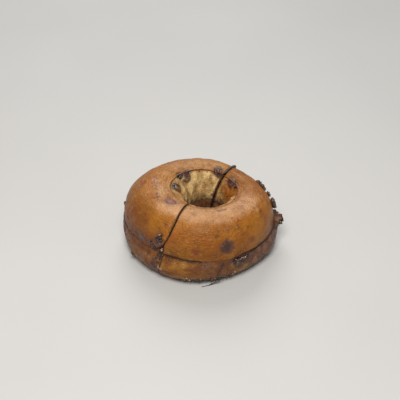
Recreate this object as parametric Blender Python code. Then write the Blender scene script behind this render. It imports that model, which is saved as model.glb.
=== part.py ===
# A sliced blueberry bagel standing on its flat underside.
# Metres, +Z up. The origin is under the middle of the bagel, on the surface that it rests on.
# One knife stroke runs level round the ring and parts the crown from the heel. Two more strokes
# come down through the ring, one on each side of the hole, and part both of them into a left and
# a right piece. Blueberries baked into the dough break the crust, each loose in its own pocket.
import math

import bmesh
import bpy
from mathutils import Matrix, Vector

MM = 0.001

# The ring
CROWN_RADIUS = 47.06 * MM  # mean outer radius of the crown, at the slice
HEEL_RADIUS = 50.05 * MM  # mean outer radius of the heel, at its belly
HOLE_RADIUS = 13.3 * MM  # the hole, at the slice
SLICE_HEIGHT = 19.0 * MM  # height of the slice above the underside
SLICE_GAP = 0.6 * MM  # gap between the crown and the heel
HEEL_TOP = SLICE_HEIGHT - SLICE_GAP / 2
BELLY_HEIGHT = 10.0 * MM  # where the heel is widest
HEEL_STEP = 0.3 * MM  # how far the heel's top edge stands out past the crown's edge
CROWN_RISE = 23.46 * MM  # mean height of the crown above the slice
CROWN_TILT = -0.069  # share by which the crown is higher towards +X
CREST_SHARE = 0.52  # where the crown's crest runs, as a share of the wall from hole to outside
CROWN_ROUNDNESS = (2.3, 2.0)  # outer and inner side: 2 is an ellipse, and more is squarer
HEEL_ROUNDNESS = (3.0, 2.3)  # inner and outer side
REST_SHARES = (0.30, 0.72)  # where the flat underside starts and ends, as shares of the wall

# Lobes: how far each outline leaves a circle round the hole's axis, as (turns, share along cos,
# share along sin). One turn sets it off to a side, and more turns flatten it.
CROWN_LOBES = ((1, -0.1060, -0.1553), (2, 0.0436, -0.0301), (3, -0.0132, -0.0118), (4, 0.0235, -0.0055))
HEEL_LOBES = ((1, -0.0992, -0.1332), (2, 0.0363, -0.0115), (3, 0.0098, -0.0039), (4, 0.0100, -0.0102))

# A lip of crust torn outwards on the heel's top edge: heading in plan, spread and reach
LIP = (math.radians(-7.0), math.radians(8.5), 6.0 * MM)

# Knife strokes through the ring: heading in plan, lean from upright, distance of the stroke's
# plane from the foot of the hole's axis, and width of the gap it leaves
FRONT_CUT = (math.radians(-111.4), math.radians(12.0), -11.7 * MM, 1.0 * MM)
BACK_CUT = (math.radians(51.2), math.radians(-12.0), 7.5 * MM, 1.4 * MM)

# Blueberries: a squashed ball each, with its centre just under the crust
BERRY_GAP = 0.35 * MM  # between a berry and its pocket
BERRY_FLATNESS = 0.55  # its radius square to the crust, as a share of its radius along the crust
BERRY_DEPTH = 0.30  # how deep its centre lies, as a share of its radius along the crust

# Crown berries: angle round the hole, angle over the crown from its outer edge, radius
CROWN_LEFT_BERRIES = {
    "blueberry_hole_upper": (136.0, 129.0, 4.6 * MM),
    "blueberry_hole_lower": (172.0, 134.0, 3.6 * MM),
    "blueberry_back_rim": (67.0, 116.0, 3.3 * MM),
    "blueberry_top": (220.0, 103.0, 4.2 * MM),
    "blueberry_front_left": (233.5, 15.0, 4.6 * MM),
}
CROWN_RIGHT_BERRIES = {
    "blueberry_hole_right": (25.0, 124.0, 4.2 * MM),
    "blueberry_front": (285.0, 22.0, 4.4 * MM),
}
# Heel berries: angle round the hole, height above the underside, radius
HEEL_LEFT_BERRIES = {"blueberry_heel_left": (233.0, 8.5 * MM, 3.4 * MM)}
HEEL_RIGHT_BERRIES = {"blueberry_heel_right": (294.0, 13.2 * MM, 3.6 * MM)}

# Mesh fineness
STEPS_ROUND = 48  # along each bread piece
CROWN_STEPS = 20  # over the crown
HEEL_STEPS = 6  # over each curve of the heel's side
BERRY_STEPS = 14  # round each berry


def material(name, color, roughness):
    made = bpy.data.materials.new(name)
    made.use_nodes = True
    shader = made.node_tree.nodes["Principled BSDF"]
    shader.inputs["Base Color"].default_value = (*color, 1.0)
    shader.inputs["Roughness"].default_value = roughness
    shader.inputs["Metallic"].default_value = 0.0
    return made


def crust_material():
    return material("crust", (0.33, 0.135, 0.038), 0.38)


def heel_material():
    return material("heel", (0.17, 0.085, 0.045), 0.5)


def berry_material():
    return material("blueberry", (0.045, 0.018, 0.022), 0.25)


def outline(radius, lobes, angle):
    """How far a lobed outline lies from the hole's axis, at an angle round that axis."""
    return radius * (1 + sum(c * math.cos(n * angle) + s * math.sin(n * angle) for n, c, s in lobes))


def rounded(turn, roundness):
    """A point of the unit superellipse, turn radians round from +X."""
    c, s = math.cos(turn), math.sin(turn)
    reach = (abs(c) ** roundness + abs(s) ** roundness) ** (-1 / roundness)
    return c * reach, s * reach


def crown_point(angle, turn):
    """Radius and height over the crown, turn radians up from its outer edge."""
    outer = outline(CROWN_RADIUS, CROWN_LOBES, angle)
    crest = HOLE_RADIUS + CREST_SHARE * (outer - HOLE_RADIUS)
    inside = turn > math.pi / 2
    across, up = rounded(turn, CROWN_ROUNDNESS[inside])
    half = crest - HOLE_RADIUS if inside else outer - crest
    rise = CROWN_RISE * (1 + CROWN_TILT * math.cos(angle)) - SLICE_GAP / 2
    return crest + half * across, SLICE_HEIGHT + SLICE_GAP / 2 + rise * up


def heel_edge(angle):
    """How far the heel's outer top edge lies from the hole's axis."""
    heading, spread, reach = LIP
    away = math.remainder(angle - heading, 2 * math.pi) / spread
    return outline(CROWN_RADIUS, CROWN_LOBES, angle) + HEEL_STEP + reach * math.exp(-(away**2))


def heel_point(angle, turn):
    """Radius and height round the heel: turn is pi at its inner top edge, 2 pi at its belly
    and 2.5 pi at its outer top edge."""
    belly = outline(HEEL_RADIUS, HEEL_LOBES, angle)
    if turn > 2 * math.pi:
        climb = (turn - 2 * math.pi) / (math.pi / 2)
        return belly + (heel_edge(angle) - belly) * climb**2, BELLY_HEIGHT + (HEEL_TOP - BELLY_HEIGHT) * climb
    outside = turn > math.pi * 1.5
    foot = HOLE_RADIUS + REST_SHARES[outside] * (belly - HOLE_RADIUS)
    half = belly - foot if outside else foot - HOLE_RADIUS
    across, up = rounded(turn, HEEL_ROUNDNESS[outside])
    return foot + half * across, (BELLY_HEIGHT if outside else HEEL_TOP) * (1 + up)


def crown_turns():
    return [math.pi * i / CROWN_STEPS for i in range(CROWN_STEPS + 1)]


def heel_turns():
    quarter = [math.pi / 2 * i / HEEL_STEPS for i in range(HEEL_STEPS + 1)]
    inner = [math.pi + turn for turn in quarter]
    outer = [math.pi * 1.5 + turn for turn in quarter]
    outer[0] += 1e-6
    wall = [math.pi * 2 + turn for turn in quarter[1:]]
    return inner + outer + wall


def heel_turn(height):
    """Where on the heel's outer side a height lies, as a turn for heel_point."""
    if height > BELLY_HEIGHT:
        return 2 * math.pi + math.pi / 2 * (height - BELLY_HEIGHT) / (HEEL_TOP - BELLY_HEIGHT)
    roundness = HEEL_ROUNDNESS[1]
    drop = 1 - height / BELLY_HEIGHT
    return 2 * math.pi - math.atan2(drop, (1 - drop**roundness) ** (1 / roundness))


def cut_side(cut, side):
    """One face of a stroke: its heading, its lean and its distance."""
    heading, lean, distance, width = cut
    return heading, lean, distance + side * width / 2


def swing(face, radius, height):
    """How far round from its heading a cut's face lies, at a radius and a height."""
    _, lean, distance = face
    return math.asin((distance + height * math.sin(lean)) / (radius * math.cos(lean)))


def place(point, turn, start, end, share):
    """The point a share of the way round from one cut's face to another's."""
    angle = start[0] + share * (end[0] - start[0])
    round_to = angle
    for _ in range(6):
        radius, height = point(round_to, turn)
        shift = (1 - share) * swing(start, radius, height) + share * swing(end, radius, height)
        round_to = angle + shift
    return Vector((radius * math.cos(round_to), radius * math.sin(round_to), height))


def add_object(name, mesh, finish):
    mesh.normal_update()
    bmesh.ops.recalc_face_normals(mesh, faces=mesh.faces)
    data = bpy.data.meshes.new(name)
    mesh.to_mesh(data)
    mesh.free()
    data.shade_smooth()
    data.set_sharp_from_angle(angle=math.radians(40))
    data.materials.append(finish)
    piece = bpy.data.objects.new(name, data)
    bpy.context.collection.objects.link(piece)
    return piece


def bread_piece(name, point, turns, start, end, finish):
    """A closed solid: the profile swept round from one cut to another, its two ends flat."""
    mesh = bmesh.new()
    rings = []
    for i in range(STEPS_ROUND + 1):
        share = i / STEPS_ROUND
        rings.append([mesh.verts.new(place(point, turn, start, end, share)) for turn in turns])
    for here, there in zip(rings, rings[1:]):
        for j in range(len(here)):
            k = (j + 1) % len(here)
            mesh.faces.new((here[j], here[k], there[k], there[j]))
    mesh.faces.new(rings[0])
    mesh.faces.new(rings[-1])
    return add_object(name, mesh, finish)


def berry_frame(point, angle, turn, radius):
    """Where a berry sits: its centre, and axes along, up and out of the crust."""
    def spot(at_angle, at_turn):
        away, height = point(at_angle, at_turn)
        return Vector((away * math.cos(at_angle), away * math.sin(at_angle), height))

    step = 0.01
    here = spot(angle, turn)
    along = (spot(angle + step, turn) - here).normalized()
    across = (spot(angle, turn + step) - here).normalized()
    out = along.cross(across).normalized()
    across = out.cross(along)
    frame = Matrix((along, across, out)).transposed().to_4x4()
    frame.translation = here - out * radius * BERRY_DEPTH
    return frame


def berry(name, frame, radius, grow, finish):
    mesh = bmesh.new()
    bmesh.ops.create_uvsphere(mesh, u_segments=BERRY_STEPS, v_segments=BERRY_STEPS // 2, radius=1)
    wide, deep = radius + grow, radius * BERRY_FLATNESS + grow
    mesh.transform(frame @ Matrix.Diagonal((wide, wide, deep, 1)))
    return add_object(name, mesh, finish)


def cut_away(piece, cutter):
    """Cuts the cutter out of the piece, and drops the cutter."""
    cutter.hide_render = True
    cutter.display_type = "WIRE"
    boolean = piece.modifiers.new("pocket", "BOOLEAN")
    boolean.operation = "DIFFERENCE"
    boolean.solver = "EXACT"
    boolean.object = cutter
    seen = piece.evaluated_get(bpy.context.evaluated_depsgraph_get())
    cut = bpy.data.meshes.new_from_object(seen)
    piece.modifiers.clear()
    old, piece.data = piece.data, cut
    cut.name = piece.name
    bpy.data.meshes.remove(old)
    bpy.data.objects.remove(cutter)


def crown_berries(piece, berries, finish):
    for name, (angle, turn, radius) in berries.items():
        frame = berry_frame(crown_point, math.radians(angle), math.radians(turn), radius)
        cut_away(piece, berry("cutter", frame, radius, BERRY_GAP, finish))
        berry(name, frame, radius, 0.0, finish)


def heel_berries(piece, berries, finish):
    for name, (angle, height, radius) in berries.items():
        frame = berry_frame(heel_point, math.radians(angle), heel_turn(height), radius)
        cut_away(piece, berry("cutter", frame, radius, BERRY_GAP, finish))
        berry(name, frame, radius, 0.0, finish)


def centre_all():
    """Puts the middle of the bagel's plan over the origin."""
    corners = [v.co for piece in bpy.data.objects for v in piece.data.vertices]
    middle = [(min(c[i] for c in corners) + max(c[i] for c in corners)) / 2 for i in range(2)]
    for piece in bpy.data.objects:
        piece.data.transform(Matrix.Translation((-middle[0], -middle[1], 0.0)))


def main():
    for old in list(bpy.data.objects):
        bpy.data.objects.remove(old)
    crust, heel, fruit = crust_material(), heel_material(), berry_material()
    right = (cut_side(FRONT_CUT, 1), cut_side(BACK_CUT, -1))
    front = cut_side(FRONT_CUT, -1)
    left = (cut_side(BACK_CUT, 1), (front[0] + 2 * math.pi, *front[1:]))
    crown_left = bread_piece("crown_left", crown_point, crown_turns(), *left, crust)
    crown_right = bread_piece("crown_right", crown_point, crown_turns(), *right, crust)
    heel_left = bread_piece("heel_left", heel_point, heel_turns(), *left, heel)
    heel_right = bread_piece("heel_right", heel_point, heel_turns(), *right, heel)
    crown_berries(crown_left, CROWN_LEFT_BERRIES, fruit)
    crown_berries(crown_right, CROWN_RIGHT_BERRIES, fruit)
    heel_berries(heel_left, HEEL_LEFT_BERRIES, fruit)
    heel_berries(heel_right, HEEL_RIGHT_BERRIES, fruit)
    centre_all()


main()
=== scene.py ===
import math
import bmesh
import bpy
from mathutils import Matrix, Vector


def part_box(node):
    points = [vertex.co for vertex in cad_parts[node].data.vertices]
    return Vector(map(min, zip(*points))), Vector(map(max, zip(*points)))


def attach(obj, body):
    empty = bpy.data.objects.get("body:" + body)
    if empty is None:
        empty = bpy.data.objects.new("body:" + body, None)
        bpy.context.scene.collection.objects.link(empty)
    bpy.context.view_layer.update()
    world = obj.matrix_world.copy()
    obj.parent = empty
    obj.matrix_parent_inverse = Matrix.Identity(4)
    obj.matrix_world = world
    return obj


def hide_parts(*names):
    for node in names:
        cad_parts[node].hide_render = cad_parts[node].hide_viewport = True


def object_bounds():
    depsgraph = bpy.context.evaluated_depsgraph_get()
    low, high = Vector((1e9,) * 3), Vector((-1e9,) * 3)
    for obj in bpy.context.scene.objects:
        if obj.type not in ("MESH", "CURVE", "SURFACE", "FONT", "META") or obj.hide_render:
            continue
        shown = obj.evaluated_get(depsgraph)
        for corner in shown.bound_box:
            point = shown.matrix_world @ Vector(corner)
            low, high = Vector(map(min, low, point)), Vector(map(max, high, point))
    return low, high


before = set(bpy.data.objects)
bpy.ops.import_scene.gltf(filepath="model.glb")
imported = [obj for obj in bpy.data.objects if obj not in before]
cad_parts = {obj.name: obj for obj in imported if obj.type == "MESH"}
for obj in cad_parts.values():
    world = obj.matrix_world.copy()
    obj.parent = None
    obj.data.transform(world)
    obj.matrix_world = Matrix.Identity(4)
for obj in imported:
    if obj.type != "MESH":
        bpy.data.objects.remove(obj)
cadBox = [list(corner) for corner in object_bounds()]
mm = 0.001

# Sizes of the bread, in metres and radians. Angles run round the hole's axis from +X.
ring = {"Hole radius": 13.3 * mm, "Slice height": 19.0 * mm, "Slice gap": 0.6 * mm}
crown = {
    "Crown radius": 47.06 * mm,
    "Rise": 23.46 * mm,
    "Tilt": -0.069,  # share by which it stands higher towards +X
    "Crest share": 0.52,  # where its crest runs, from the hole to the outside
    "Outer roundness": 2.3,
    "Inner roundness": 2.0,
}
heel = {
    "Heel radius": 50.05 * mm,
    "Crown radius": 47.06 * mm,
    "Step": 0.3 * mm,  # how far its top edge stands out past the crown
    "Belly height": 10.0 * mm,  # where it is widest
    "Inner roundness": 3.0,
    "Outer roundness": 2.3,
    "Rest start": 0.30,
    "Rest end": 0.72,
    "Lip heading": math.radians(-7.0),  # a lip torn outwards on its top edge
    "Lip spread": math.radians(8.5),
    "Lip reach": 6.0 * mm,
}
# Waves of each outline: turns round the ring, share along the cosine and share along the sine
crownLobes = (
    (1, -0.1060, -0.1553),
    (2, 0.0436, -0.0301),
    (3, -0.0132, -0.0118),
    (4, 0.0235, -0.0055),
)
heelLobes = (
    (1, -0.0992, -0.1332),
    (2, 0.0363, -0.0115),
    (3, 0.0098, -0.0039),
    (4, 0.0100, -0.0102),
)
# Where along the heel's section its inner corner, its flat underside and its outer corner end
heelStops = (0.28, 0.46, 0.74)
# Knife strokes down through the ring: heading, lean, distance from the foot of the hole's axis, width
frontCut = {
    "heading": math.radians(-111.4),
    "lean": math.radians(12.0),
    "distance": -11.7 * mm,
    "width": 0.95 * mm,
}
backCut = {
    "heading": math.radians(51.2),
    "lean": math.radians(-12.0),
    "distance": 7.5 * mm,
    "width": 2.0 * mm,
}
# The front stroke bows sideways: by how much, at which height and over what height
bow = {
    "Bow": -2.0 * mm,
    "Bow height": 25.0 * mm,
    "Bow spread": 7.5 * mm,
    "Bow start": -0.45 * mm,
    "Flare": 0.14 * mm,  # how far each face draws back near the top
}
# Steps of the bread's grid along its section and round its pieces
fineness = {"crust": 210, "slice": 34, "cap": 7, "left": 330, "right": 276}

# The hole's axis keeps its place beside the middle of the box
holeBeside = (2.480 * mm, 6.479 * mm)
boxMiddle = [(cadBox[0][axis] + cadBox[1][axis]) / 2 for axis in (0, 1)]
holeX, holeY = boxMiddle[0] + holeBeside[0], boxMiddle[1] + holeBeside[1]


class Wire:
    # one socket of a node tree, so that sums on it read as sums
    def __init__(self, tree, socket):
        self.tree = tree
        self.socket = socket

    def maths(self, operation, *values):
        node = self.tree.nodes.new("ShaderNodeMath")
        node.operation = operation
        for slot, value in zip(node.inputs, values):
            plug(self.tree, slot, value)
        return Wire(self.tree, node.outputs[0])

    def output(self, name):
        return Wire(self.tree, self.socket.node.outputs[name])

    def __add__(self, other):
        return self.maths("ADD", self, other)

    def __sub__(self, other):
        return self.maths("SUBTRACT", self, other)

    def __rsub__(self, other):
        return self.maths("SUBTRACT", other, self)

    def __mul__(self, other):
        return self.maths("MULTIPLY", self, other)

    def __truediv__(self, other):
        return self.maths("DIVIDE", self, other)

    def __rtruediv__(self, other):
        return self.maths("DIVIDE", other, self)

    def __pow__(self, other):
        return self.maths("POWER", self, other)

    def __rpow__(self, other):
        return self.maths("POWER", other, self)

    __radd__ = __add__
    __rmul__ = __mul__


def plug(tree, slot, value):
    if isinstance(value, Wire):
        tree.links.new(value.socket, slot)
    elif value is not None:
        slot.default_value = value


def make(tree, kind, settings=None, inputs=None, output=0):
    # any node: its settings first, then its sockets by name or number
    node = tree.nodes.new(kind)
    for name, value in (settings or {}).items():
        setattr(node, name, value)
    for name, value in (inputs or {}).items():
        plug(tree, node.inputs[name], value)
    return Wire(tree, node.outputs[output])


def sinOf(value):
    return value.maths("SINE", value) if isinstance(value, Wire) else math.sin(value)


def cosOf(value):
    return value.maths("COSINE", value) if isinstance(value, Wire) else math.cos(value)


def asinOf(value):
    return value.maths("ARCSINE", value) if isinstance(value, Wire) else math.asin(value)


def expOf(value):
    return value.maths("EXPONENT", value) if isinstance(value, Wire) else math.exp(value)


def absOf(value):
    return value.maths("ABSOLUTE", value) if isinstance(value, Wire) else abs(value)


def lower(a, b):
    one = a if isinstance(a, Wire) else b
    return one.maths("MINIMUM", a, b) if isinstance(one, Wire) else min(a, b)


def higher(a, b):
    one = a if isinstance(a, Wire) else b
    return one.maths("MAXIMUM", a, b) if isinstance(one, Wire) else max(a, b)


def clipped(value):
    return lower(higher(value, 0.0), 1.0)


def above(value, limit):
    # 1 over the limit and 0 under it
    return value.maths("GREATER_THAN", value, limit) if isinstance(value, Wire) else float(value > limit)


def smooth(value, start, end):
    # an eased climb from 0 at start to 1 at end
    if not isinstance(value, Wire):
        share = clipped((value - start) / (end - start))
        return share * share * (3.0 - 2.0 * share)
    return make(value.tree, "ShaderNodeMapRange", {"interpolation_type": "SMOOTHSTEP"},
                {"Value": value, "From Min": start, "From Max": end})


def band(value, middle, half, soft):
    # 1 within half of the middle, falling to 0 over soft
    return 1.0 - smooth(absOf(value - middle), half, half + soft)


def between(around, start, end, soft):
    # 1 between two angles in degrees, with soft ends
    start, end, soft = math.radians(start), math.radians(end), math.radians(soft)
    return smooth(around, start - soft, start) * (1.0 - smooth(around, end, end + soft))


def combined(tree, x, y, z):
    return make(tree, "ShaderNodeCombineXYZ", None, {"X": x, "Y": y, "Z": z})


def vectorMaths(tree, operation, *values, output=0):
    return make(tree, "ShaderNodeVectorMath", {"operation": operation}, dict(enumerate(values)), output)


def scaled(vector, factor):
    return make(vector.tree, "ShaderNodeVectorMath", {"operation": "SCALE"}, {0: vector, "Scale": factor})


def split(vector):
    # X as it stands, Y and Z by output
    return make(vector.tree, "ShaderNodeSeparateXYZ", None, {0: vector})


def position(tree):
    return make(tree, "GeometryNodeInputPosition")


def placed(tree, shape, spot):
    return make(tree, "GeometryNodeSetPosition", None, {"Geometry": shape, "Position": spot})


def stored(tree, shape, name, value):
    # keeps a value on every point, for the relief and the finish to read
    return make(tree, "GeometryNodeStoreNamedAttribute", {"data_type": "FLOAT", "domain": "POINT"},
                {"Geometry": shape, "Name": name, "Value": value})


def roundAxis(size, around, radius, height):
    # a place from its angle and radius about the hole's axis
    x = size["Hole X"] + radius * cosOf(around)
    y = size["Hole Y"] + radius * sinOf(around)
    return combined(around.tree, x, y, height)


def addObject(name, data):
    thing = bpy.data.objects.new(name, data)
    bpy.context.collection.objects.link(thing)
    return thing


def noise(place, scale, seed=0.0, detail=2.0, roughness=0.5, stretch=None):
    # a wandering value about 0, from -0.5 to 0.5
    spread = vectorMaths(place.tree, "MULTIPLY", place, stretch) if stretch else place
    return make(place.tree, "ShaderNodeTexNoise", {"noise_dimensions": "4D"},
                {"Vector": spread, "W": seed, "Scale": scale, "Detail": detail, "Roughness": roughness}) - 0.5


def cells(place, scale):
    return make(place.tree, "ShaderNodeTexVoronoi", None, {"Vector": place, "Scale": scale})


def wobble(place, scale, amount):
    # a small wandering vector, to make soft edges uneven
    tree = place.tree
    field = make(tree, "ShaderNodeTexNoise", {"noise_dimensions": "4D"},
                 {"Vector": place, "W": 3.7, "Scale": scale, "Detail": 2.0}, "Color")
    centred = vectorMaths(tree, "SUBTRACT", field, (0.5, 0.5, 0.5))
    return vectorMaths(tree, "MULTIPLY", centred, (2 * amount, 2 * amount, 2 * amount))


def near(place, spot, radius, soft):
    # 1 within radius of the spot, falling to 0 over soft
    away = vectorMaths(place.tree, "DISTANCE", place, tuple(spot), output="Value")
    return 1.0 - smooth(away, radius, radius + soft)


def outline(radius, lobes, around):
    reach = 1.0
    for turns, alongCos, alongSin in lobes:
        reach = reach + alongCos * cosOf(turns * around) + alongSin * sinOf(turns * around)
    return radius * reach


def roundedCorner(turn, roundness):
    across, up = cosOf(turn), sinOf(turn)
    reach = (absOf(across) ** roundness + absOf(up) ** roundness) ** (-1.0 / roundness)
    return across * reach, up * reach


def crownPoint(sizes, around, over):
    # radius and height on the crown: over runs from 0 at its outer edge to 1 at the hole
    outer = outline(sizes["Crown radius"], crownLobes, around)
    crest = sizes["Hole radius"] + sizes["Crest share"] * (outer - sizes["Hole radius"])
    inside = above(over, 0.5)
    roundness = sizes["Outer roundness"] + inside * (sizes["Inner roundness"] - sizes["Outer roundness"])
    across, up = roundedCorner(math.pi * over, roundness)
    half = outer - crest + inside * (2.0 * crest - sizes["Hole radius"] - outer)
    rise = sizes["Rise"] * (1.0 + sizes["Tilt"] * cosOf(around)) - sizes["Slice gap"] * 0.5
    return crest + half * across, sizes["Slice height"] + sizes["Slice gap"] * 0.5 + rise * up


def heelPoint(sizes, around, over):
    # radius and height on the heel: over runs from 0 at the hole, along the underside, to 1
    innerEnd, flatEnd, cornerEnd = heelStops
    inner = clipped(over / innerEnd)
    flat = clipped((over - innerEnd) / (flatEnd - innerEnd))
    corner = clipped((over - flatEnd) / (cornerEnd - flatEnd))
    climb = clipped((over - cornerEnd) / (1.0 - cornerEnd))
    hole, top = sizes["Hole radius"], sizes["Slice height"] - sizes["Slice gap"] * 0.5
    belly = outline(sizes["Heel radius"], heelLobes, around)
    footIn = hole + sizes["Rest start"] * (belly - hole)
    footOut = hole + sizes["Rest end"] * (belly - hole)
    away = (around - sizes["Lip heading"]) / sizes["Lip spread"]
    lip = sizes["Lip reach"] * expOf(-1.0 * away * away)
    if isinstance(around, Wire):
        lip = lip * (1.0 + 1.1 * noise(combined(around.tree, around * 17.0, 0.0, 0.0), 1.0, 4.4))
    edge = outline(sizes["Crown radius"], crownLobes, around) + sizes["Step"] + lip
    acrossIn, upIn = roundedCorner(math.pi * (1.0 + inner * 0.5), heel["Inner roundness"])
    acrossOut, upOut = roundedCorner(math.pi * (1.5 + corner * 0.5), heel["Outer roundness"])
    radius = footIn + (footIn - hole) * acrossIn + flat * (footOut - footIn)
    radius = radius + (belly - footOut) * acrossOut + climb * climb * (edge - belly)
    height = top * (1.0 + upIn) + sizes["Belly height"] * (1.0 + upOut)
    return radius, height + climb * (top - sizes["Belly height"])


profiles = {"crown": (crownPoint, crown), "heel": (heelPoint, heel)}


def spotOn(on, degrees, over):
    point, sizes = profiles[on]
    around = math.radians(degrees)
    radius, height = point({**ring, **sizes}, around, over)
    return Vector((holeX + radius * math.cos(around), holeY + radius * math.sin(around), height))


def axesOn(on, degrees, over):
    # axes along, across and out of the crust at a spot
    here = spotOn(on, degrees, over)
    along = (spotOn(on, degrees + 0.5, over) - here).normalized()
    across = (spotOn(on, degrees, over + 0.004) - here).normalized()
    out = along.cross(across).normalized()
    return along, out.cross(along), out


def newTree(name, sizes):
    # a geometry tree with one named input for each size
    tree = bpy.data.node_groups.new(name, "GeometryNodeTree")
    tree.is_modifier = True
    tree.interface.new_socket("Geometry", in_out="INPUT", socket_type="NodeSocketGeometry")
    tree.interface.new_socket("Geometry", in_out="OUTPUT", socket_type="NodeSocketGeometry")
    for size, value in sizes.items():
        socket = tree.interface.new_socket(size, in_out="INPUT", socket_type="NodeSocketFloat")
        socket.default_value = value
    entry = tree.nodes.new("NodeGroupInput")
    return tree, {size: Wire(tree, entry.outputs[size]) for size in sizes}


def finishTree(tree, shape, material):
    smoothed = make(tree, "GeometryNodeSetShadeSmooth", None, {"Geometry": shape})
    whole = make(tree, "GeometryNodeRealizeInstances", None, {"Geometry": smoothed})
    painted = make(tree, "GeometryNodeSetMaterial", None, {"Geometry": whole, "Material": material})
    plug(tree, tree.nodes.new("NodeGroupOutput").inputs[0], painted)


def pushed(tree, shape, height):
    # moves a surface along its normals
    push = scaled(make(tree, "GeometryNodeInputNormal"), height)
    return make(tree, "GeometryNodeSetPosition", None, {"Geometry": shape, "Offset": push})


def grow(name, tree, sizes, material):
    # runs a geometry tree with these sizes and keeps the result as a plain mesh
    holder = addObject(name, bpy.data.meshes.new(name + "Start"))
    modifier = holder.modifiers.new("grow", "NODES")
    modifier.node_group = tree
    for item in tree.interface.items_tree:
        if item.in_out == "INPUT" and item.name in sizes:
            modifier[item.identifier] = float(sizes[item.name])
    seen = holder.evaluated_get(bpy.context.evaluated_depsgraph_get())
    mesh = bpy.data.meshes.new_from_object(seen)
    holder.modifiers.clear()
    holder.data = mesh
    mesh.name = name
    if not mesh.materials:
        mesh.materials.append(material)
    return holder


# Blueberries: the bread each breaks and where, its radius in mm, and how far bread covers it
berries = {
    "blueberry_hole_upper": {"on": "crown", "side": "left", "at": (136.0, 0.717), "radius": 4.6, "cover": 0.0},
    "blueberry_hole_lower": {"on": "crown", "side": "left", "at": (172.0, 0.744), "radius": 3.6, "cover": 0.1},
    "blueberry_back_rim": {"on": "crown", "side": "left", "at": (67.0, 0.644), "radius": 3.3, "cover": 0.55},
    "blueberry_top": {"on": "crown", "side": "left", "at": (220.0, 0.572), "radius": 4.2, "cover": 1.0},
    "blueberry_front_left": {"on": "crown", "side": "left", "at": (233.5, 0.083), "radius": 4.6, "cover": 0.0},
    "blueberry_hole_right": {"on": "crown", "side": "right", "at": (25.0, 0.689), "radius": 4.2, "cover": 0.15},
    "blueberry_front": {"on": "crown", "side": "right", "at": (-75.0, 0.122), "radius": 4.4, "cover": 0.75},
    "blueberry_heel_left": {"on": "heel", "side": "left", "at": (233.0, 0.705), "radius": 3.4, "cover": 0.6},
    "blueberry_heel_right": {"on": "heel", "side": "right", "at": (-66.0, 0.835), "radius": 3.6, "cover": 0.2},
}
for name, berry in berries.items():
    low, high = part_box(name)
    berry["centre"] = (Vector(low) + Vector(high)) / 2
# How the crust lies at a berry: it sinks to a bare one, and swells more over a buried one
pocket = {"sink": 2.4 * mm, "swell": 0.8 * mm, "buried swell": 1.6 * mm, "buried from": 0.9}

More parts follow.
